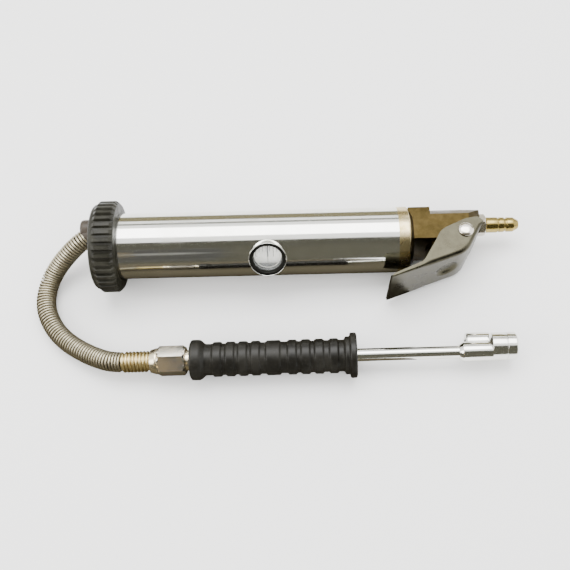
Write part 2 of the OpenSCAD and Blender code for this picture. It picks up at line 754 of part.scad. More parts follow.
module hose_nut() color("goldenrod") in_wand() difference() {
    intersection() {
        hex_x(nut_hex, nut_start, -neck_len, 4);
        turned_x([
            [nut_start, 0], [nut_start, nut_hex / 2], [nut_start + 1.2, nut_hex / 2 + 1.6],
            [-neck_len - 1.2, nut_hex / 2 + 1.6], [-neck_len, nut_hex / 2], [-neck_len, 0]
        ]);
    }
    rod_x(hose_d / 2 + seat_gap, nut_start - 1, hose_stop);
    rod_x(wand_bore / 2, nut_start, 0);
    rod_x(6 + seat_gap, tube_start - 0.3, 0);
}

module wand_adapter() color("silver") in_wand() difference() {
    union() {
        rod_x(6, tube_start - 0.3, -neck_len + 0.1);
        rod_x(7.2, -neck_len, 0);
    }
    rod_x(wand_d / 2 + seat_gap, tube_start, 1);
    rod_x(wand_bore / 2, nut_start, 1);
}

module grip() color([0.1, 0.1, 0.1]) in_wand() difference() {
    r = grip_d / 2;
    low = r - grip_groove;
    fa = flange_hose_d / 2;
    fb = flange_chuck_d / 2;
    n = grip_len;
    ridge = 2.6;
    turned_x(concat(
        [[0, 0], [0, fa - 1.5], [1, fa], [6.5, fa], [8, fa - 0.8], [10.5, low]],
        [for (i = [0:3]) each [
            [ridge_shares[i] * n - ridge - 0.9, low], [ridge_shares[i] * n - ridge, r],
            [ridge_shares[i] * n + ridge, r], [ridge_shares[i] * n + ridge + 0.9, low]]],
        [[0.455 * n, low], [0.462 * n, r], [0.54 * n, r], [0.547 * n, low]],
        [for (i = [4:7]) each [
            [ridge_shares[i] * n - ridge - 0.9, low], [ridge_shares[i] * n - ridge, r],
            [ridge_shares[i] * n + ridge, r], [ridge_shares[i] * n + ridge + 0.9, low]]],
        [[n - 9, low], [n - 8, r + 1], [n - 5, r + 1], [n - 4.8, fb - 0.6], [n - 4, fb],
            [n - 0.8, fb], [n, fb - 1], [n, 0]]
    ));
    rod_x(wand_d / 2 + seat_gap, -1, n + 1);
}

module wand_tube() color("silver") in_wand()
    pipe_x(wand_d / 2, wand_bore / 2, tube_start, stem_x + 14.5);

// ---------- chuck ----------

module chuck_body() color("silver") difference() {
    union() {
        in_wand() turned_x([
            [chuck_x, 0], [chuck_x, wand_d / 2 + 0.5], [stem_x, stem_d / 2],
            [forward_x + 1, stem_d / 2], [forward_x + 1, 0]
        ]);
        in_forward() turned_x([
            [forward_x - 1.5, 0], [forward_x - 1.5, 6.5], [forward_x + 0.6, forward_d / 2],
            [forward_x + 10.4, forward_d / 2], [forward_x + 10.6, forward_d / 2 - 0.3],
            [forward_x + 10.9, forward_d / 2 - 0.3], [forward_x + 11.1, forward_d / 2],
            [forward_end - 1, forward_d / 2], [forward_end, forward_d / 2 - 0.8], [forward_end, 0]
        ]);
        in_reverse() turned_x([
            [reverse_x, 0], [reverse_x, reverse_d / 2 - 0.6], [reverse_x + 0.8, reverse_d / 2],
            [reverse_x + reverse_len, reverse_d / 2], [reverse_x + reverse_len + 2, 5],
            [reverse_x + reverse_len + 2, 0]
        ]);
    }
    in_wand() rod_x(wand_d / 2 + seat_gap, chuck_x - 1, stem_x + 14.5);
    in_wand() rod_x(2, stem_x + 14, forward_x + 2);
    in_forward() rod_x(forward_thread + seat_gap, forward_end - seat_len - foot_seal_t - 2.6, forward_end + 1);
    in_forward() rod_x(5, forward_x - 0.5, forward_end - seat_len);
    in_reverse() rod_x(reverse_thread + seat_gap, reverse_x - 1, reverse_x + reverse_seat_len + foot_seal_t + 2.6);
    in_reverse() rod_x(4.5, reverse_x, reverse_x + reverse_len - 1);
}

module forward_seat() color("silver") in_forward()
    pipe_x(forward_thread, valve_bore / 2, forward_end - seat_len, forward_end);

module forward_seal() color([0.1, 0.1, 0.1]) in_forward()
    pipe_x(forward_thread, 2.6, forward_end - seat_len - foot_seal_t, forward_end - seat_len);

module forward_pin() color("goldenrod") in_forward() {
    rod_x(2.2, forward_end - seat_len - foot_seal_t - 1, forward_end - seat_len);
    rod_x(4.4, forward_end - seat_len - foot_seal_t - 2.1, forward_end - seat_len - foot_seal_t - 0.1);
}

module forward_spring() color("gray") in_forward()
    coil_x(3.2, 0.4, forward_x - 0.5, forward_end - seat_len - foot_seal_t - 2.1, 4);

module reverse_seat() color("silver") in_reverse()
    pipe_x(reverse_thread, valve_bore / 2, reverse_x, reverse_x + reverse_seat_len);

module reverse_seal() color([0.1, 0.1, 0.1]) in_reverse()
    pipe_x(reverse_thread, 2.6, reverse_x + reverse_seat_len, reverse_x + reverse_seat_len + foot_seal_t);

module reverse_pin() color("goldenrod") in_reverse() {
    back = reverse_x + reverse_seat_len + foot_seal_t;
    rod_x(2.2, reverse_x + reverse_seat_len, back + 1);
    rod_x(4, back + 0.1, back + 2.1);
}

module reverse_spring() color("gray") in_reverse()
    coil_x(2.8, 0.4, reverse_x + reverse_seat_len + foot_seal_t + 2.1, reverse_x + reverse_len - 1, 4);

barrel_tube();
bumper_ring();
end_cap();
end_cap_seal();
outlet_elbow();
window_rim();
window_gasket();
window_lens();
window_hairline();
gauge_cylinder();
spring_adjuster();
gauge_spring();
gauge_piston();
piston_cup();
gauge_rod();
indicator_drum();
drum_nut();
air_tube();
valve_head();
head_seal();
plunger_bushing();
plunger_seal();
plunger();
poppet();
poppet_seal();
valve_spring();
valve_cap();
lever();
lever_pin();
inlet_plug();
inlet_screen();
hose();
hose_guard();
brass_coil();
hose_collar();
hose_nut();
wand_adapter();
grip();
wand_tube();
chuck_body();
forward_seat();
forward_seal();
forward_pin();
forward_spring();
reverse_seat();
reverse_seal();
reverse_pin();
reverse_spring();
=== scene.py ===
import json
import math
import bpy
import bmesh
from mathutils import Matrix, Vector


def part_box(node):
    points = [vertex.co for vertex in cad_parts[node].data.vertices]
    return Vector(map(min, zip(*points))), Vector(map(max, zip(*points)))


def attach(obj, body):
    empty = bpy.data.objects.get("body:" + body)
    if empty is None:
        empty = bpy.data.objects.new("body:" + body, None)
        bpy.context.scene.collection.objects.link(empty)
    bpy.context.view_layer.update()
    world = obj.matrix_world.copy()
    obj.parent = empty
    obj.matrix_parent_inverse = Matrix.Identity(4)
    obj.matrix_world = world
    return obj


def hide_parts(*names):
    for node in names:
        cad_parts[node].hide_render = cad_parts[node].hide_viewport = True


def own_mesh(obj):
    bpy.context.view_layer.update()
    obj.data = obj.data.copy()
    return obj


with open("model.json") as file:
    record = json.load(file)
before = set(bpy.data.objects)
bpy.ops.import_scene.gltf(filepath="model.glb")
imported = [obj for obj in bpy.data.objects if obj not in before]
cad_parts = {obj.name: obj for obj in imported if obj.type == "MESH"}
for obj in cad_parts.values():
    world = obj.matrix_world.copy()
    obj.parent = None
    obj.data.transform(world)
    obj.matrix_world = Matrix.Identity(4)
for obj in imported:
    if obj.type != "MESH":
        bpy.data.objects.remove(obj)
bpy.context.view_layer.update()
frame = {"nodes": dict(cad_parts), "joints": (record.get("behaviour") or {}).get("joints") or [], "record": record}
mm = 0.001
joints = {j["name"]: j for j in frame["joints"]}

# Two local frames: the tool lies tilted on its bumper ring, the wand lies level
toolAxis = -Vector(joints["gauge_slide"]["axis"]).normalized()
toolSide = Vector(joints["plunger_slide"]["axis"]).normalized()
pivotAt = Vector(joints["lever_pivot"]["pos_m"])
toolOrigin = pivotAt - toolAxis * 0.2625 + toolSide * 0.0042
gripLow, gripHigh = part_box("grip")
wandOrigin = Vector((gripLow.x, (gripLow.y + gripHigh.y) / 2, (gripLow.z + gripHigh.z) / 2))


def placed(origin, xAxis, yAxis):
    m = Matrix((xAxis, yAxis, xAxis.cross(yAxis))).transposed().to_4x4()
    m.translation = origin
    return m


def moved(place, x=0, y=0, z=0):
    return place @ Matrix.Translation(Vector((x, y, z)) * mm)


toolPlace = placed(toolOrigin, toolAxis, toolSide)
wandPlace = Matrix.Translation(wandOrigin)
windowTilt = math.radians(57)
windowTurn = Matrix.Rotation(windowTilt, 4, "X") @ Matrix.Rotation(-math.pi / 2, 4, "Y")
windowPlace = moved(toolPlace, 121.3) @ windowTurn
gaugePlace = moved(toolPlace, 0, -5.5 * math.sin(windowTilt), 5.5 * math.cos(windowTilt))
valvePlace = moved(toolPlace, 253) @ Matrix.Rotation(math.pi / 2, 4, "Z")
plugPlace = moved(toolPlace, 276, 10.5)
forwardPlace = moved(wandPlace, 0, 3.5, -0.8)
reversePlace = moved(wandPlace, 0, 8.9, -6.5)

# Camera, looking down on the lever side
cameraSet = {
    "at": (0.018, -0.2482, 0.5449), "right": (0.998, -0.011, -0.060), "back": (0.050, -0.430, 0.901),
    "lens": 50.53,
}
camData = bpy.data.cameras.new("photoCamera")
camData.lens = cameraSet["lens"]
camData.sensor_width = 36
camData.clip_end = 20
cam = bpy.data.objects.new("photoCamera", camData)
bpy.context.scene.collection.objects.link(cam)
camBack = Vector(cameraSet["back"]).normalized()
camUp = camBack.cross(Vector(cameraSet["right"])).normalized()
camRight = camUp.cross(camBack)
cam.matrix_world = placed(Vector(cameraSet["at"]), camRight, camUp)
bpy.context.scene.camera = cam
print("camera ready")


# Shader helpers
class Wire:
    def __init__(self, paint, socket):
        self.paint = paint
        self.socket = socket

    def math(self, kind, *others):
        return self.paint.node("ShaderNodeMath", {"operation": kind}, dict(enumerate(others)))

    def __add__(self, o):
        return self.math("ADD", self, o)

    def __radd__(self, o):
        return self.math("ADD", o, self)

    def __sub__(self, o):
        return self.math("SUBTRACT", self, o)

    def __rsub__(self, o):
        return self.math("SUBTRACT", o, self)

    def __mul__(self, o):
        return self.math("MULTIPLY", self, o)

    def __rmul__(self, o):
        return self.math("MULTIPLY", o, self)

    def __truediv__(self, o):
        return self.math("DIVIDE", self, o)

    def __rtruediv__(self, o):
        return self.math("DIVIDE", o, self)

    def __gt__(self, o):
        return self.math("GREATER_THAN", self, o)

    def __lt__(self, o):
        return self.math("LESS_THAN", self, o)

    def wave(self):
        return self.math("FRACT", self)

    def most(self, o):
        return self.math("MAXIMUM", self, o)

    # 0 below a, 1 above b, smooth between
    def fade(self, a, b):
        return self.paint.node("ShaderNodeMapRange", {"interpolation_type": "SMOOTHSTEP"},
                               {"Value": self, "From Min": a, "From Max": b})


class Paint:
    def __init__(self, name):
        self.material = bpy.data.materials.new(name)
        self.material.use_nodes = True
        self.tree = self.material.node_tree
        self.shader = next(n for n in self.tree.nodes if n.type == "BSDF_PRINCIPLED")

    def put(self, socket, value):
        if isinstance(value, Wire):
            self.tree.links.new(value.socket, socket)
        elif isinstance(value, (tuple, list)) and len(value) == 3 and len(socket.default_value) == 4:
            socket.default_value = (*value, 1)
        else:
            socket.default_value = value

    def node(self, kind, settings=None, inputs=None, out=0):
        n = self.tree.nodes.new(kind)
        for key, value in (settings or {}).items():
            setattr(n, key, value)
        for key, value in (inputs or {}).items():
            self.put(n.inputs[key], value)
        return Wire(self, n.outputs[out])

    def set(self, **values):
        names = {"color": "Base Color", "rough": "Roughness", "metal": "Metallic", "normal": "Normal",
                 "alpha": "Alpha", "specular": "Specular IOR Level", "ior": "IOR"}
        for key, value in values.items():
            self.put(self.shader.inputs[names[key]], value)

    def spot(self, scale=(1, 1, 1)):
        at = self.node("ShaderNodeTexCoord", {}, {}, "Object")
        return self.node("ShaderNodeMapping", {}, {"Vector": at, "Scale": scale})

    def noise(self, scale, detail=3, rough=0.5, stretch=(1, 1, 1)):
        return self.node("ShaderNodeTexNoise", {}, {
            "Vector": self.spot(stretch), "Scale": scale, "Detail": detail, "Roughness": rough})

    def mix(self, amount, a, b):
        n = self.tree.nodes.new("ShaderNodeMix")
        n.data_type = "RGBA"
        for i, value in ((0, amount), (6, a), (7, b)):
            self.put(n.inputs[i], value)
        return Wire(self, n.outputs[2])

    def bump(self, height, strength, distance):
        return self.node("ShaderNodeBump", {}, {"Height": height, "Strength": strength, "Distance": distance})


# A surface of two shades with cloudy change, fine grain and optional specks of dust
def surface(name, s):
    p = Paint(name)
    mask = p.noise(s["cloud"], 4, 0.6).fade(0.35, 0.7)
    color = p.mix(mask, s["color"], s["second"])
    if "speck" in s:
        speck = p.noise(s["speck"]["scale"], 2, 0.7).fade(s["speck"]["from"], s["speck"]["to"])
        color = p.mix(speck * s["speck"]["amount"], color, s["speck"]["color"])
    rough = mask * (s["rough"][1] - s["rough"][0]) + s["rough"][0]
    p.set(color=color, rough=rough, metal=s.get("metal", 0), specular=s.get("specular", 0.5))
    if "grain" in s:
        grain = p.noise(s["grain"][0], 3, 0.65, s.get("grainStretch", (1, 1, 1)))
        p.set(normal=p.bump(grain, s["grain"][1], s["grain"][2]))
    return p.material


# Mesh helpers, all lengths in mm
def rounded(points, radius, closed=False, steps=3):
    out = []
    n = len(points)
    for i, p in enumerate(points):
        if not closed and i in (0, n - 1):
            out.append(tuple(p))
            continue
        here, last, after = Vector(p), Vector(points[i - 1]), Vector(points[(i + 1) % n])
        toLast, toAfter = last - here, after - here
        if toLast.length < 1e-6 or toAfter.length < 1e-6:
            out.append(tuple(p))
            continue
        cut = min(radius, 0.45 * toLast.length, 0.45 * toAfter.length)
        a, b = here + toLast.normalized() * cut, here + toAfter.normalized() * cut
        for k in range(steps + 1):
            t = k / steps
            out.append(tuple(a * (1 - t) ** 2 + here * 2 * t * (1 - t) + b * t * t))
    return out


# Turned about X from points of (x, radius); shape may change the radius by x, radius and angle
def turned(points, steps=96, closed=False, shape=None, start=0.0):
    verts, faces, rings = [], [], []
    for x, r in points:
        if r < 1e-6:
            rings.append([len(verts)] * steps)
            verts.append((x, 0, 0))
            continue
        ring = []
        for k in range(steps):
            a = start + 2 * math.pi * k / steps
            rr = shape(x, r, a) if shape else r
            ring.append(len(verts))
            verts.append((x, rr * math.cos(a), rr * math.sin(a)))
        rings.append(ring)
    pairs = list(zip(rings, rings[1:])) + ([(rings[-1], rings[0])] if closed else [])
    for a, b in pairs:
        for k in range(steps):
            j = (k + 1) % steps
            face = list(dict.fromkeys((a[k], a[j], b[j], b[k])))
            if len(face) > 2:
                faces.append(face)
    return verts, faces


def joined(*parts):
    verts, faces = [], []
    for v, f in parts:
        faces += [[i + len(verts) for i in face] for face in f]
        verts += v
    return verts, faces


def inWorld(part, place):
    return [tuple((place @ (Vector(v) * mm)) / mm) for v in part[0]], part[1]


def shifted(part, x=0, y=0, z=0):
    return [(a + x, b + y, c + z) for a, b, c in part[0]], part[1]


def hexagon(flats, turn):
    def shape(x, r, a):
        near = (math.degrees(a) - turn + 30) % 60 - 30
        return min(r, flats / 2 / math.cos(math.radians(near)))
    return shape


# Frames carried along a line without twist
def carried(line):
    steps = [(line[min(i + 1, len(line) - 1)] - line[max(i - 1, 0)]).normalized() for i in range(len(line))]
    side = steps[0].orthogonal().normalized()
    out = []
    for t in steps:
        side = (side - t * side.dot(t)).normalized()
        out.append((t, side, t.cross(side)))
    return out


def swept(line, radii, sides=24):
    verts, faces = [], []
    frames = carried(line)
    for p, (t, u, v), r in zip(line, frames, radii):
        for k in range(sides):
            a = 2 * math.pi * k / sides
            verts.append(tuple(p + (u * math.cos(a) + v * math.sin(a)) * r))
    for i in range(len(line) - 1):
        for k in range(sides):
            j = (k + 1) % sides
            faces.append((i * sides + k, i * sides + j, (i + 1) * sides + j, (i + 1) * sides + k))
    faces.append(tuple(reversed(range(sides))))
    faces.append(tuple((len(line) - 1) * sides + k for k in range(sides)))
    return verts, faces


def resampled(line, step):
    out, left = [line[0]], step
    for a, b in zip(line, line[1:]):
        length = (b - a).length
        along = left
        while along < length:
            out.append(a.lerp(b, along / length))
            along += step
        left = along - length
    out.append(line[-1])
    return out


def curved(points, parts=8):
    pts = [Vector(p) for p in points]
    pts = [pts[0] * 2 - pts[1]] + pts + [pts[-1] * 2 - pts[-2]]
    out = []
    for i in range(1, len(pts) - 2):
        a, b, c, d = pts[i - 1:i + 3]
        for k in range(parts):
            t = k / parts
            out.append(0.5 * (2 * b + (c - a) * t + (2 * a - 5 * b + 4 * c - d) * t ** 2
                              + (3 * b - a - 3 * c + d) * t ** 3))
    return out + [pts[-2]]


# A wire wound round a line
def wound(line, coilR, wireR, pitch, perTurn=20, sides=8):
    fine = resampled(line, pitch / perTurn)
    frames = carried(fine)
    wire = []
    for i, (p, (t, u, v)) in enumerate(zip(fine, frames)):
        a = 2 * math.pi * i / perTurn
        wire.append(p + (u * math.cos(a) + v * math.sin(a)) * coilR)
    return swept(wire, [wireR] * len(wire), sides)


# Pieces and what they ride on
def piece(name, part, place, material, body, stands=(), sharp=35):
    mesh = bpy.data.meshes.new(name)
    mesh.from_pydata([tuple(place @ (Vector(v) * mm)) for v in part[0]], [], part[1])
    bm = bmesh.new()
    bm.from_mesh(mesh)
    bmesh.ops.recalc_face_normals(bm, faces=bm.faces)
    bm.to_mesh(mesh)
    bm.free()
    obj = bpy.data.objects.new(name, mesh)
    bpy.context.scene.collection.objects.link(obj)
    return dressed(obj, material, body, stands, sharp)


def dressed(obj, material, body, stands=(), sharp=35):
    obj.data.materials.clear()
    obj.data.materials.append(material)
    for face in obj.data.polygons:
        face.use_smooth = True
    obj.data.set_sharp_from_angle(angle=math.radians(sharp))
    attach(obj, body)
    if stands:
        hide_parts(*stands)
    return obj


# The CAD shape with its sharp edges rounded
def eased(name, node, width, segments, material, body):
    mesh = frame["nodes"][node].data.copy()
    mesh.name = name
    bm = bmesh.new()
    bm.from_mesh(mesh)
    bmesh.ops.remove_doubles(bm, verts=bm.verts, dist=1e-6)
    bmesh.ops.dissolve_limit(bm, angle_limit=math.radians(0.6), verts=bm.verts, edges=bm.edges)
    edges = [e for e in bm.edges if len(e.link_faces) == 2 and e.calc_face_angle(0) > math.radians(30)]
    bmesh.ops.bevel(bm, geom=edges, offset=width * mm, offset_type="OFFSET", segments=segments,
                    profile=0.5, affect="EDGES", clamp_overlap=True)
    bm.to_mesh(mesh)
    bm.free()
    obj = bpy.data.objects.new(name, mesh)
    bpy.context.scene.collection.objects.link(obj)
    return dressed(obj, material, body, (node,))


# Finishes
chrome = surface("polishedChrome", {
    "color": (0.80, 0.80, 0.76), "second": (0.72, 0.72, 0.67), "metal": 1, "rough": (0.07, 0.15),
    "cloud": 45, "grain": (900, 0.02, 0.0002)})
dullNickel = surface("dullNickel", {
    "color": (0.052, 0.048, 0.033), "second": (0.085, 0.080, 0.056), "metal": 1, "rough": (0.26, 0.38),
    "cloud": 90, "grain": (2600, 0.10, 0.0002),
    "speck": {"scale": 1500, "from": 0.62, "to": 0.75, "amount": 0.25, "color": (0.25, 0.22, 0.17)}})
# A brighter copy of the head's brass for its collar: a painted highlight
collarHighlightBrass = surface("collarHighlightBrass", {
    "color": (0.66, 0.55, 0.32), "second": (0.40, 0.31, 0.12), "metal": 1, "rough": (0.22, 0.34),
    "cloud": 80})
castBrass = surface("castBrass", {
    "color": (0.050, 0.036, 0.012), "second": (0.090, 0.064, 0.024), "metal": 1, "rough": (0.28, 0.42),
    "cloud": 110, "grain": (2300, 0.4, 0.0003),
    "speck": {"scale": 1900, "from": 0.55, "to": 0.72, "amount": 0.45, "color": (0.10, 0.07, 0.03)}})
brightBrass = surface("brightBrass", {
    "color": (0.40, 0.31, 0.105), "second": (0.28, 0.21, 0.065), "metal": 1,
    "rough": (0.16, 0.28), "cloud": 150,
    "grain": (1200, 0.05, 0.0002), "grainStretch": (8, 1, 1)})
coilBrass = surface("coilBrass", {
    "color": (0.74, 0.62, 0.33), "second": (0.56, 0.45, 0.21), "metal": 1, "rough": (0.3, 0.4), "cloud": 200})
guardSteel = surface("guardSteel", {
    "color": (0.50, 0.455, 0.34), "second": (0.38, 0.34, 0.24), "metal": 1, "rough": (0.36, 0.46),
    "cloud": 120})
nutNickel = surface("nutNickel", {
    "color": (0.86, 0.82, 0.75), "second": (0.78, 0.72, 0.62), "metal": 1, "rough": (0.14, 0.22),
    "cloud": 120})
creamMetal = surface("creamMetal", {
    "color": (0.88, 0.80, 0.62), "second": (0.80, 0.70, 0.50), "metal": 1, "rough": (0.2, 0.3), "cloud": 120})
ringRubber = surface("ringRubber", {
    "specular": 0.28,
    "color": (0.011, 0.0105, 0.007), "second": (0.022, 0.021, 0.014), "rough": (0.38, 0.55), "cloud": 110,
    "grain": (1700, 0.25, 0.0003),
    "speck": {"scale": 700, "from": 0.6, "to": 0.78, "amount": 0.25, "color": (0.07, 0.067, 0.05)}})
gripRubber = surface("gripRubber", {
    "specular": 0.25,
    "color": (0.0065, 0.006, 0.0045), "second": (0.013, 0.012, 0.009), "rough": (0.32, 0.46), "cloud": 90,
    "grain": (2000, 0.15, 0.0002),
    "speck": {"scale": 900, "from": 0.62, "to": 0.78, "amount": 0.25, "color": (0.07, 0.07, 0.068)}})
darkPlastic = surface("darkPlastic", {
    "specular": 0.3,
    "color": (0.035, 0.028, 0.022), "second": (0.055, 0.043, 0.032), "rough": (0.3, 0.42), "cloud": 100,
    "grain": (1500, 0.08, 0.0002)})
sealRubber = surface("sealRubber", {
    "specular": 0.12,
    "color": (0.004, 0.004, 0.003), "second": (0.008, 0.008, 0.006), "rough": (0.5, 0.6), "cloud": 90,
    "grain": (2000, 0.1, 0.0002)})
springSteel = surface("springSteel", {
    "color": (0.6, 0.6, 0.6), "second": (0.45, 0.45, 0.45), "metal": 1, "rough": (0.2, 0.32), "cloud": 200})
satinMetal = surface("satinMetal", {
    "color": (0.62, 0.62, 0.6), "second": (0.54, 0.54, 0.52), "metal": 1, "rough": (0.25, 0.35), "cloud": 90,
    "grain": (1500, 0.06, 0.0002), "grainStretch": (10, 1, 1)})


# The drum carries lines round it every 2.5 mm, with a longer one every fifth, and glows with its own colour as
# painted light
def drumPaint(s):
    p = Paint("printedGlowingDrum")
    at = p.spot()
    along = p.node("ShaderNodeVectorMath", {"operation": "DOT_PRODUCT"},
                   {0: at, 1: tuple(toolAxis)}, "Value") - toolAxis.dot(toolOrigin)
    across = p.node("ShaderNodeVectorMath", {"operation": "DOT_PRODUCT"},
                    {0: at, 1: tuple(s["up"])}, "Value") - Vector(s["up"]).dot(toolOrigin)
    fine = (along / s["step"]).wave() < s["line"]
    long = (along / (5 * s["step"])).wave() < s["line"] / 5 * 1.4
    marks = (fine * (across > s["short"])).most(long * (across > s["long"]))
    cloud = p.noise(80, 3)
    base = p.mix(cloud.fade(0.3, 0.7), s["color"], s["second"])
    shade = p.mix(marks * 0.8, base, s["ink"])
    p.set(color=shade, rough=0.35)
    # Painted light: the drum's colour is also emitted, so it glows though it is no lamp
    p.put(p.shader.inputs["Emission Color"], shade)
    p.shader.inputs["Emission Strength"].default_value = s["glow"]
    return p.material


def glassPaint(s):
    p = Paint("lensGlass")
    cloud = p.noise(120, 3)
    p.set(color=s["color"], rough=cloud * 0.05 + s["rough"], alpha=s["alpha"], ior=1.45)
    p.material.surface_render_method = "BLENDED"
    return p.material


windowUp = windowPlace.to_3x3() @ Vector((0, 1, 0))
# glow is the strength of the drum's painted light
glowingDrumPaint = drumPaint({
    "up": windowUp.normalized(), "step": 0.0025, "line": 0.16, "short": 0.002, "long": -0.002,
    "color": (0.86, 0.85, 0.80), "second": (0.80, 0.79, 0.72), "ink": (0.06, 0.05, 0.04), "glow": 0.45})
lensGlass = glassPaint({"color": (0.9, 0.93, 0.93), "rough": 0.03, "alpha": 0.1})
print("materials ready")

# Hose with its wound guard: the route in metres
hoseSet = {
    "route": [
        (-0.1575, 0.0418, 0.0314), (-0.163, 0.039, 0.0293), (-0.169, 0.0355, 0.026),
        (-0.1745, 0.032, 0.0223), (-0.1795, 0.0285, 0.0185), (-0.184, 0.0245, 0.0148),
        (-0.1885, 0.0185, 0.011), (-0.191, 0.011, 0.0086), (-0.1918, 0.0025, 0.0076),
        (-0.19, -0.007, 0.0074), (-0.186, -0.0155, 0.0074), (-0.1805, -0.0235, 0.0074),
        (-0.1735, -0.0305, 0.0078), (-0.1655, -0.0365, 0.0088), (-0.1565, -0.042, 0.0103),
        (-0.147, -0.0468, 0.0122), (-0.1375, -0.0504, 0.0143), (-0.1278, -0.052, 0.0159),
    ],
    "guardR": 7.3, "wireR": 0.92, "pitch": 2.25, "hoseR": 5.4,
    "brassR": 7.55, "brassWire": 1.0, "brassPitch": 2.5,
    "coil": -49.3, "collar": -28.8, "nut": -23.3, "neck": -3.4,
}
guardLine = curved([tuple(c * 1000 for c in p) for p in hoseSet["route"]])
coilStart, collarStart, nutStart, neckStart = (hoseSet[key] for key in ("coil", "collar", "nut", "neck"))
level = Matrix.Identity(4)
guardCoil = wound(guardLine, hoseSet["guardR"] - hoseSet["wireR"], hoseSet["wireR"], hoseSet["pitch"], 24, 8)
guard = piece("hoseGuard", guardCoil, level, guardSteel, "base", ("hose_guard",), 60)
wandLine = [Vector((x + wandOrigin.x * 1000, wandOrigin.y * 1000, wandOrigin.z * 1000))
            for x in (-40, -30, -20)]
hoseLine = guardLine + wandLine
hoseCore = piece("hoseCore", swept(hoseLine, [hoseSet["hoseR"]] * len(hoseLine), 24), level, gripRubber,
                 "base", ("hose",), 60)
brassLine = [Vector((coilStart + 1.1, 0, 0)), Vector((collarStart - 1.1, 0, 0))]
brassCoil = piece("brassCoil", joined(
    wound(brassLine, hoseSet["brassR"] - hoseSet["brassWire"], hoseSet["brassWire"], hoseSet["brassPitch"],
          32, 10),
    turned([(coilStart, 5.6), (coilStart, 6.1), (collarStart, 6.1), (collarStart, 5.6)], 48, True)),
    wandPlace, coilBrass, "base", ("brass_coil",), 60)
collar = piece("hoseCollar", turned(rounded([
    (collarStart, 5.02), (collarStart, 8.0), (nutStart - 1.2, 9.3), (nutStart, 9.0), (nutStart, 5.02)],
    0.5, True), 96, True), wandPlace, creamMetal, "base", ("hose_collar",))
nut = piece("hoseNut", turned(rounded([
    (nutStart, 5.02), (nutStart, 9.4), (nutStart + 1.5, 11.0), (neckStart - 1.5, 11.0), (neckStart, 9.4),
    (neckStart, 6.02)], 0.2, True), 144, True, hexagon(19, 4), math.radians(4)),
    wandPlace, nutNickel, "base", ("hose_nut",), 25)
guardLength = sum((b - a).length for a, b in zip(guardLine, guardLine[1:])) * mm
[tuple(p * mm) for p in guardLine]
print("hose ready", round(guardLength, 4))

# Ribbed bumper ring
ringSet = {"outer": 33.5, "ribs": 36, "depth": 2.1, "gap": 2.4, "chamfer": 2.4, "right": 13.5,
           "lead": 0.35, "soft": 0.9}


def ribShape(x, r, a):
    floor = ringSet["outer"] - ringSet["depth"]
    if r <= floor:
        return r
    pitch = 360 / ringSet["ribs"]
    off = (math.degrees(a) - pitch / 2) % pitch
    off = min(off, pitch - off) * math.pi / 180 * ringSet["outer"]
    t = min(1, max(0, (off - ringSet["gap"] / 2 + ringSet["lead"]) / ringSet["soft"]))
    return min(r, floor + ringSet["depth"] * t * t * (3 - 2 * t))


outer, low = ringSet["outer"], ringSet["outer"] - ringSet["chamfer"]
ringLine = rounded([
    (-4.5, 22), (-4.5, low - 1.2), (-3, low), (-2, low), (-2 + ringSet["chamfer"], outer),
    (ringSet["right"] - ringSet["chamfer"], outer), (ringSet["right"], low), (ringSet["right"], 24.02),
    (-3, 24.02), (-3, 22)], 0.5, True)
piece("bumperRing", turned(ringLine, 36 * 20, True, ribShape), toolPlace, ringRubber, "base",
      ("bumper_ring",), 50)
print("ring ready")

# Barrel with its window hole
barrelSet = {"outer": 24, "inner": 22, "length": 215, "hole": 13.05}


def cutBarrel(s):
    tube = piece("barrelTube", turned([(0, s["inner"]), (0, s["outer"]), (s["length"], s["outer"]),
                                       (s["length"], s["inner"])], 256, True),
                 toolPlace, chrome, "base", ("barrel_tube",), 40)
    cutter = bpy.data.meshes.new("cutter")
    v, f = turned([(0, 0), (0, s["hole"]), (40, s["hole"]), (40, 0)], 128)
    cutter.from_pydata([tuple(windowPlace @ (Vector(p) * mm)) for p in v], [], f)
    cutObj = bpy.data.objects.new("cutter", cutter)
    bpy.context.scene.collection.objects.link(cutObj)
    change = tube.modifiers.new("hole", "BOOLEAN")
    change.object = cutObj
    change.solver = "EXACT"
    bpy.context.view_layer.update()
    made = bpy.data.meshes.new_from_object(tube.evaluated_get(bpy.context.evaluated_depsgraph_get()))
    tube.modifiers.clear()
    tube.data = made
    bpy.data.objects.remove(cutObj)
    normals = []
    for face in made.polygons:
        for v in face.vertices:
            at = made.vertices[v].co - toolOrigin
            out = (at - toolAxis * at.dot(toolAxis)).normalized()
            turn = face.normal.dot(out)
            normals.append(out if turn > 0.9 else -out if turn < -0.9 else face.normal)
    made.normals_split_custom_set(normals)
    return tube


cutBarrel(barrelSet)
piece("endCap", turned(rounded([
    (-3, 4.5), (-3, 24), (0, 24), (0, 21.98), (12, 21.98), (12, 4.5)], 0.3, True), 128, True),
    toolPlace, satinMetal, "base", ("end_cap",))
print("barrel ready")

# Swivel elbow: a dome on the barrel and a leg to the hose
elbowSet = {"r": 7.6, "mid": -7, "side": 15, "legR": 7.35, "legFrom": 2, "end": -17.5}
bendAt = toolPlace @ (Vector((elbowSet["mid"], elbowSet["side"], 0)) * mm)
hoseAt = Vector(hoseSet["route"][0])
legWay = (hoseAt - bendAt).normalized()
legPlace = placed(bendAt, legWay, legWay.orthogonal().normalized())
legLength = (hoseAt - bendAt).length / mm
dome = [(4, 0), (4, 4.4), (-3, 4.4)] + rounded([
    (-3, 5), (-3, elbowSet["r"]), (elbowSet["end"], elbowSet["r"] - 0.5), (elbowSet["end"], 0)],
    2.6, False, 6)
legFrom, legR = elbowSet["legFrom"], elbowSet["legR"]
leg = rounded([
    (legFrom, 0), (legFrom, legR), (legLength - 2.5, legR), (legLength - 2.2, legR + 0.35),
    (legLength - 0.4, legR + 0.35), (legLength, legR), (legLength, 0)], 0.3)
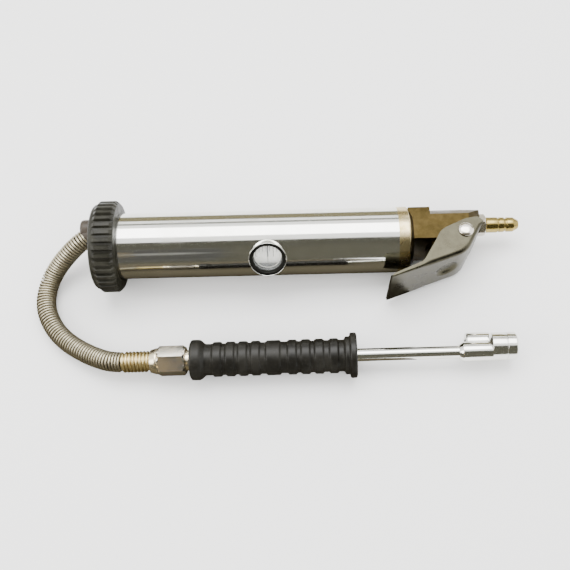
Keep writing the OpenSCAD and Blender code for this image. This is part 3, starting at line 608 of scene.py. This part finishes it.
piece("outletElbow", joined(inWorld(turned(dome, 64), moved(toolPlace, 0, elbowSet["side"])),
                            inWorld(turned(leg, 64), legPlace)),
      level, darkPlastic, "base", ("outlet_elbow",), 40)

# Window: rim, seal, lens and hairline, with the drum behind
windowSet = {"rim": 13.6, "rimIn": 13.0, "top": 25.2, "low": 19.14}
top, lensLow, rimR, rimIn = windowSet["top"], windowSet["low"], windowSet["rim"], windowSet["rimIn"]
piece("windowRim", turned(rounded([
    (lensLow - 1.2, 9.75), (lensLow - 1.2, 12.8), (lensLow, 13.4), (top - 0.4, rimR), (top, rimR - 0.2),
    (top, rimIn + 0.2), (top - 0.2, rimIn), (lensLow, rimIn), (lensLow, 9.75)], 0.12, True), 128, True),
    windowPlace, chrome, "base", ("window_rim",))
piece("windowGasket", turned(rounded([
    (lensLow, 10.52), (lensLow, rimIn - 0.02), (top - 0.3, rimIn - 0.02), (top - 0.4, 11.2),
    (top - 1.2, 10.52)], 0.2, True), 96, True),
    windowPlace, sealRubber, "base", ("window_gasket",))
lensPoints = [(lensLow + 4.5 - 40 + math.sqrt(40 ** 2 - r * r), r) for r in (0, 2, 4, 6, 8, 9.5, 10.2)]
piece("windowLens", turned([(lensLow, 0), (lensLow, 10.48), (lensLow + 2.9, 10.48)] + lensPoints[::-1], 96),
      windowPlace, lensGlass, "base", ("window_lens",), 30)


# The hairline is broad in its upper half and thin in its lower half
def hairBar(low, high, half):
    corners = [(low, -half), (high, -half), (high, half), (low, half)]
    return ([(lensLow - 0.3, a, b) for a, b in corners] + [(lensLow - 0.02, a, b) for a, b in corners],
            [(0, 1, 2, 3), (7, 6, 5, 4), (0, 4, 5, 1), (1, 5, 6, 2), (2, 6, 7, 3), (3, 7, 4, 0)])


piece("windowHairline", joined(hairBar(-0.6, 9.6, 0.42), hairBar(-9.6, -0.6, 0.16)),
    windowPlace, sealRubber, "base", ("window_hairline",))
piece("indicatorDrum", turned(rounded([
    (96, 2.52), (96, 11.8), (158, 11.8), (158, 10.2), (99, 10.2), (99, 2.52)], 0.4, True), 96, True),
    gaugePlace, glowingDrumPaint, "gauge", ("indicator_drum",))
print("window ready")

# Valve head and what is on it
valveHead = eased("valveHead", "valve_head", 0.7, 3, castBrass, "base")
# The collar faces of the one brass head get the brighter copy, a painted highlight
valveHead.data.materials.append(collarHighlightBrass)
for face in valveHead.data.polygons:
    spot = (toolPlace.inverted() @ face.center) / mm
    if 215 < spot.x < 223 and math.hypot(spot.y, spot.z) > 19:
        face.material_index = 1
eased("valveCap", "valve_cap", 0.25, 2, brightBrass, "base")
eased("plungerBushing", "plunger_bushing", 0.2, 2, brightBrass, "base")


# The lever is one folded sheet: a web between two side plates, with a dent where the plunger rests
leverSet = {
    "outer": [(-55, 35.8), (0, 16.3), (13.4, -7.2)], "half": 20, "fold": 3.2, "t": 1.8, "kneeR": 7,
    "inner": [(-53.5, 33), (-31.8, 23.6), (-21.3, 6.4), (-18.4, 0.8), (-14.5, -2.5), (-5, -6.8), (0.5, -9.4),
              (10, -11.1), (13.4, -7.2)],
    "dent": 11.1, "dentR": 9.4, "depth": 2.4, "along": 110, "across": 40,
}


def evenly(points, count):
    pts = [Vector(p) for p in points]
    total = sum((b - a).length for a, b in zip(pts, pts[1:]))
    out, i, done = [], 0, 0.0
    for k in range(count):
        goal = total * k / (count - 1)
        while i < len(pts) - 2 and done + (pts[i + 1] - pts[i]).length < goal:
            done += (pts[i + 1] - pts[i]).length
            i += 1
        part = (pts[i + 1] - pts[i]).length
        out.append(pts[i].lerp(pts[i + 1], min(1, (goal - done) / part) if part else 0))
    return out


def leverSheet(s):
    n = s["along"]
    outer = evenly(rounded(s["outer"], s["kneeR"], False, 10), n)
    inner = evenly(rounded(s["inner"], 2.5, False, 5), n)
    kneeAt = (Vector(s["outer"][1]) - Vector(s["outer"][0])).length - 2
    grid, walked = [], 0.0
    for i in range(n):
        p, q = outer[i], inner[i]
        if i:
            walked += (p - outer[i - 1]).length
        gap = (q - p).length
        e = (q - p) / gap if gap > 1e-4 else Vector((0, -1))
        r = min(s["fold"], 0.4 * gap)
        way = (outer[min(i + 1, n - 1)] - outer[max(i - 1, 0)]).normalized()
        inward = Vector((way.y, -way.x))
        inward = inward if inward.dot(e) > 0 else -inward
        half = []
        for k in range(9):
            at = q.lerp(p + e * r, k / 9)
            half.append((at.x, at.y, s["half"]))
        for k in range(7):
            a = math.pi / 2 * (1 - k / 6)
            at = p + e * (r * (1 - math.cos(a)))
            half.append((at.x, at.y, s["half"] - r + r * math.sin(a)))
        row = list(half)
        for k in range(1, s["across"]):
            z = (s["half"] - r) * (1 - 2 * k / s["across"])
            d = math.hypot(walked - (kneeAt - s["dent"]), z) / s["dentR"]
            t = min(1, max(0, (1 - d) / 0.42))
            at = p + inward * (s["depth"] * t * t * (3 - 2 * t))
            row.append((at.x, at.y, z))
        row += [(x, y, -z) for x, y, z in reversed(half)]
        grid.append(row)
    m = len(grid[0])
    verts = []
    for i in range(n):
        for k in range(m):
            a = Vector(grid[min(i + 1, n - 1)][k]) - Vector(grid[max(i - 1, 0)][k])
            b = Vector(grid[i][min(k + 1, m - 1)]) - Vector(grid[i][max(k - 1, 0)])
            verts.append((Vector(grid[i][k]), a.cross(b).normalized()))
    flip = 1 if verts[n // 4 * m + m // 2][1].y < 0 else -1
    out = [tuple(v) for v, _ in verts] + [tuple(v + w * s["t"] * flip) for v, w in verts]
    size, faces = n * m, []
    for i in range(n - 1):
        for k in range(m - 1):
            a, b, c, d = i * m + k, i * m + k + 1, (i + 1) * m + k + 1, (i + 1) * m + k
            faces += [(a, b, c, d), (a + size, d + size, c + size, b + size)]
        for k in (0, m - 1):
            a, d = i * m + k, (i + 1) * m + k
            faces.append((a, d, d + size, a + size))
    for i in (0, n - 1):
        for k in range(m - 1):
            a, b = i * m + k, i * m + k + 1
            faces.append((a, a + size, b + size, b))
    return [(x, -y, z) for x, y, z in out], faces


pivotPlace = moved(toolPlace, 262.5, -4.2)
piece("lever", leverSheet(leverSet), pivotPlace, dullNickel, "lever", ("lever",), 40)
piece("leverPin", turned(rounded([
    (-21.65, 0), (-21.65, 5.0), (-20.15, 5.5), (-20.15, 3), (20.15, 3), (20.15, 5.5), (21.3, 5.3),
    (22.3, 3.4), (22.7, 0)], 0.5), 96), pivotPlace @ Matrix.Rotation(-math.pi / 2, 4, "Y"), nutNickel, "base",
    ("lever_pin",))
piece("inletPlug", joined(
    turned(rounded([(-9.5, 2.4), (-9.5, 5), (0.5, 5), (0.5, 2.4)], 0.2, True), 64, True),
    turned(rounded([
        (4.8, 2.4), (4.8, 4.95), (5.7, 4.95), (6.3, 5.75), (14.5, 5.75), (14.8, 5.15), (15.6, 5.15),
        (15.9, 5.55), (19.3, 5.55), (19.8, 4.85), (20.9, 4.85), (21.4, 5.45), (26, 5.35), (29.6, 3.35),
        (30, 2.95), (30, 2.4)],
        0.35, True), 96, True)), plugPlace, brightBrass, "base", ("inlet_plug",), 28)
piece("inletHexagon", turned(rounded([
    (0, 2.4), (0, 7.3), (0.8, 8.4), (4.5, 8.4), (5.3, 7.3), (5.3, 2.4)], 0.15, True),
    144, True, hexagon(14.3, 12), math.radians(12)), plugPlace, nutNickel, "base", (), 28)
print("head ready")

# Wand: grip, neck and tube
gripSet = {"n": 117, "r": 12.3, "groove": 1.2, "ridge": 2.6, "flangeA": 14.3, "flangeB": 15.9,
           "shares": (0.163, 0.243, 0.319, 0.395, 0.614, 0.695, 0.775, 0.863)}
n, gr = gripSet["n"], gripSet["r"]
gl, rw = gr - gripSet["groove"], gripSet["ridge"]
ridges = [[(q * n - rw - 0.9, gl), (q * n - rw, gr), (q * n + rw, gr), (q * n + rw + 0.9, gl)]
          for q in gripSet["shares"]]
gripLine = [(0, 4.52), (0, 12.8), (1, 14.3), (6.5, 14.3), (8, 13.5), (10.5, gl)]
gripLine += sum(ridges[:4], []) + [(0.455 * n, gl), (0.462 * n, gr), (0.54 * n, gr), (0.547 * n, gl)]
gripLine += sum(ridges[4:], []) + [
    (n - 9, gl), (n - 8, gr + 1), (n - 5, gr + 1), (n - 4.8, 15.3), (n - 4, 15.9), (n - 0.8, 15.9),
    (n, 14.9), (n, 4.52)]
piece("wandGrip", turned(rounded(gripLine, 0.8, True, 4), 128, True), wandPlace, gripRubber, "base",
      ("grip",), 60)
piece("wandNeck", turned(rounded([
    (-12.3, 4.52), (-12.3, 6), (-3.4, 6), (-3.4, 7.2), (0, 7.2), (0, 4.52)], 0.4, True), 96, True),
    wandPlace, creamMetal, "base", ("wand_adapter",))
piece("wandTube", turned(rounded([(-12, 3), (-12, 4.5), (205, 4.5), (205, 3)], 0.2, True), 128, True),
      wandPlace, chrome, "base", ("wand_tube",))

# Two-way chuck
chuckSet = {
    "start": 187.8, "stem": 190.5, "forward": 209.8, "forwardEnd": 227.6, "reverse": 193.9, "headR": 9.85,
    "forwardOff": (3.5, -0.8), "reverseOff": (8.9, -6.5),
}
chuckX, stemX, reverseX = chuckSet["start"], chuckSet["stem"], chuckSet["reverse"]
forwardX, forwardEnd, fr = chuckSet["forward"], chuckSet["forwardEnd"], chuckSet["headR"]
stem = turned(rounded([
    (chuckX, 4.52), (chuckX, 5.0), (stemX, 6.85), (forwardX + 1, 6.85), (forwardX + 1, 4.52)],
    0.7, True), 96, True)
forward = turned(rounded([
    (forwardX - 1.5, 2), (forwardX - 1.5, 6.5), (forwardX + 0.6, fr), (forwardX + 10.4, fr),
    (forwardX + 10.6, fr - 0.35), (forwardX + 10.9, fr - 0.35), (forwardX + 11.1, fr), (forwardEnd - 1, fr),
    (forwardEnd, fr - 1), (forwardEnd, 7.02), (forwardEnd - 13.4, 7.02),
    (forwardEnd - 13.4, 5), (forwardX - 0.5, 5), (forwardX - 0.5, 2)], 0.3, True), 128, True)
reverse = turned(rounded([
    (reverseX, 5.92), (reverseX, 6.6), (reverseX + 0.9, 7.3), (reverseX + 16.2, 7.3), (reverseX + 18.1, 5),
    (reverseX + 18.1, 0.0)], 0.4), 96)
reverseBore = turned([
    (reverseX, 5.92), (reverseX + 11.3, 5.92), (reverseX + 11.3, 4.5), (reverseX + 17.1, 4.5),
    (reverseX + 17.1, 0)], 96)
piece("chuckBody", joined(stem, shifted(forward, 0, *chuckSet["forwardOff"]),
                          shifted(joined(reverse, reverseBore), 0, *chuckSet["reverseOff"])),
      wandPlace, chrome, "base", ("chuck_body",))
piece("forwardSeat", turned(rounded([
    (forwardEnd - 8.6, 4.2), (forwardEnd - 8.6, 7), (forwardEnd, 7), (forwardEnd, 4.9),
    (forwardEnd - 0.9, 4.2)], 0.2, True), 96, True),
    forwardPlace, chrome, "base", ("forward_seat",))
piece("reverseSeat", turned(rounded([
    (reverseX + 6.5, 4.2), (reverseX + 6.5, 5.9), (reverseX, 5.9), (reverseX, 4.8), (reverseX + 0.8, 4.2)],
    0.2, True), 96, True), reversePlace, chrome, "base", ("reverse_seat",))
print("wand ready")

# Springs, each wound along its span
springs = {
    "gaugeSpring": {"node": "gauge_spring", "place": gaugePlace, "span": (138, 197), "r": 5, "wire": 0.7,
                    "pitch": 5.3, "joint": "gauge_slide", "fixed": 138, "keep": 0.57},
    "valveSpring": {"node": "valve_spring", "place": valvePlace, "span": (7.5, 13.5), "r": 3.4, "wire": 0.45,
                    "pitch": 1.3, "joint": "plunger_slide", "fixed": 13.5, "keep": 0.63},
    "forwardSpring": {"node": "forward_spring", "place": forwardPlace, "span": (209.3, 214.7), "r": 3.2,
                      "wire": 0.4, "pitch": 1.2, "joint": "forward_pin_slide", "fixed": 209.3, "keep": 0.53},
    "reverseSpring": {"node": "reverse_spring", "place": reversePlace, "span": (204.7, 211), "r": 2.8,
                      "wire": 0.4, "pitch": 1.3, "joint": "reverse_pin_slide", "fixed": 211, "keep": 0.6},
}
for name, s in springs.items():
    low, high = s["span"][0] + s["wire"], s["span"][1] - s["wire"]
    line = [Vector((low, 0, 0)), Vector((high, 0, 0))]
    coil = piece(name, wound(line, s["r"], s["wire"], s["pitch"], 20, 8), s["place"], springSteel, "base",
                 (s["node"],), 60)
    way = (s["place"].to_3x3() @ Vector((1, 0, 0))).normalized()
    tuple(s["place"] @ Vector((s["fixed"] * mm, 0, 0)))
    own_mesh(coil)
cadPaint = {
    "chrome": chrome, "brass": brightBrass, "rubber": sealRubber, "aluminium": satinMetal,
    "brushed_steel": springSteel, "matte_plastic": sealRubber, "glass": lensGlass}
slotClass = {m["slot"]: m["class"] for m in frame["record"]["materials"]}
nodeSlot = {s["node"]: s["material_slot"] for s in frame["record"]["subparts"]}
for name, node in frame["nodes"].items():
    if not node.hide_render:
        node.data.materials.clear()
        node.data.materials.append(cadPaint[slotClass[nodeSlot[name]]])
        for face in node.data.polygons:
            face.use_smooth = True
        node.data.set_sharp_from_angle(angle=math.radians(30))
print("carried-over nodes painted")

# Stage and light
stageSet = {
    "floor": (0.92, 0.92, 0.92), "world": (1, 1, 0.99), "worldStrength": 2.3,
    "front": (0.050, 0.048, 0.036), "bench": (0.060, 0.052, 0.034), "band": (0.14, 0.125, 0.075),
    "line": (0.2, 0.2, 0.185), "glow": (1.0, 0.70, 0.26), "pale": (0.45, 0.45, 0.42),
}


def flat(name, corners, color):
    mesh = bpy.data.meshes.new(name)
    mesh.from_pydata(corners, [], [tuple(range(len(corners)))])
    obj = bpy.data.objects.new(name, mesh)
    bpy.context.scene.collection.objects.link(obj)
    p = Paint(name)
    p.set(color=color, rough=0.8, specular=0.1)
    mesh.materials.append(p.material)
    return obj


# A card that only shows in reflections, with a glow that fades to its edges if asked
def card(name, corners, color, glow=0):
    obj = flat(name, corners, color if not glow else (0.02, 0.02, 0.02))
    obj.visible_camera = obj.visible_diffuse = obj.visible_shadow = obj.visible_transmission = False
    if glow:
        p = Paint(name + "Glow")
        mid = sum((Vector(c) for c in corners), Vector()) / len(corners)
        away = p.node("ShaderNodeVectorMath", {"operation": "DISTANCE"},
                      {0: p.spot(), 1: tuple(mid)}, "Value")
        reach = abs(corners[1][0] - corners[0][0]) / 2  # the glow ends at the card's sides
        near = 1 - away.fade(reach * 0.1, reach)
        p.set(color=(0.02, 0.02, 0.02), rough=1.0)
        p.put(p.shader.inputs["Emission Color"], p.mix(near, (0.03, 0.028, 0.02), color))
        p.shader.inputs["Emission Strength"].default_value = glow
        obj.data.materials[0] = p.material
    return obj


def wall(name, y, x0, x1, z0, z1, color, glow=0):
    return card(name, [(x0, y, z0), (x1, y, z0), (x1, y, z1), (x0, y, z1)], color, glow)


flat("floor", [(-3, -3, 0), (3, -3, 0), (3, 3, 0), (-3, 3, 0)], stageSet["floor"])
wall("frontCard", -0.9, -2.5, 2.5, 0.0, 3.0, stageSet["front"])
card("benchCard", [(x, y, 0.0004) for x, y in ((-1, -0.9), (0.082, -0.9), (0.082, 0.04), (-1, 0.04))],
     stageSet["bench"])
wall("backBand", 1.3, -2.5, 2.5, 0.0, 0.6, stageSet["band"])
wall("backLine", 1.3, -2.5, 2.5, 0.92, 1.2, stageSet["line"])
wall("warmCard", -0.88, -0.72, -0.12, 0.1, 1.1, stageSet["glow"], 1.5)
wall("paleCard", -0.87, -0.36, -0.1, 0.25, 0.95, stageSet["pale"], 0.8)
world = bpy.data.worlds.new("studio")
world.use_nodes = True
world.node_tree.nodes["Background"].inputs[0].default_value = (*stageSet["world"], 1)
world.node_tree.nodes["Background"].inputs[1].default_value = stageSet["worldStrength"]
bpy.context.scene.world = world


def areaLight(name, at, aim, size, power, color):
    data = bpy.data.lights.new(name, "AREA")
    data.shape = "RECTANGLE"
    data.size, data.size_y = size
    data.energy = power
    data.color = color
    obj = bpy.data.objects.new(name, data)
    obj.location = at
    obj.rotation_mode = "QUATERNION"
    obj.rotation_quaternion = (Vector(aim) - Vector(at)).to_track_quat("-Z", "Y")
    bpy.context.scene.collection.objects.link(obj)
    return obj


areaLight("topLight", (0, 0.35, 1.1), (0, 0, 0), (1.2, 0.7), 18, (1, 1, 1))
areaLight("sideLight", (-0.9, -0.35, 0.7), (0, 0, 0), (0.5, 0.5), 5, (1, 0.97, 0.92))
print("stage ready")
